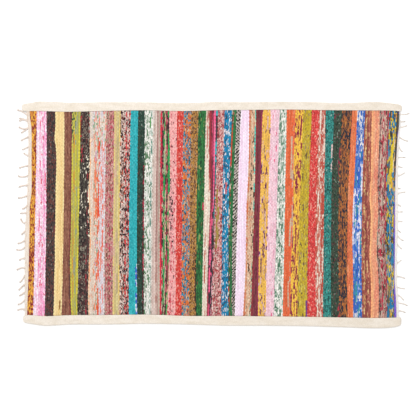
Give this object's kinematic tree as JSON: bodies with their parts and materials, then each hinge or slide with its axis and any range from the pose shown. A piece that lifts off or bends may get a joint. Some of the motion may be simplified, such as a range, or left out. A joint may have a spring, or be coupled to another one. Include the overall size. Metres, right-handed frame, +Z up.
{
  "type": "rag-woven doormat",
  "caption": "Flat rectangular doormat woven from strips of rag in ribs across its length, with folded tape on its long edges and short knotted tassels at both ends.",
  "frame": {"origin": "centre of the mat's box on the floor that it lies on", "axes": "+X along the mat's length from one tasselled end to the other, +Y across its width, +Z up out of the ribbed face"},
  "size_m": [1.0576, 0.6104, 0.006],
  "materials": {
    "rag_cloth": "matt cotton rags in stripes of many colours, ribbed weft-faced weave",
    "heading_yarn": "matt undyed cotton yarn, plain weave and loose twisted tassels",
    "tape": "matt cream cotton tape with a fine weave and one row of stitches"
  },
  "bodies": {
    "root": {"rag_weave": "rag_cloth", "heading_fringe_left": "heading_yarn", "heading_fringe_right": "heading_yarn", "binding_far": "tape", "binding_near": "tape"}
  },
  "joints": []
}
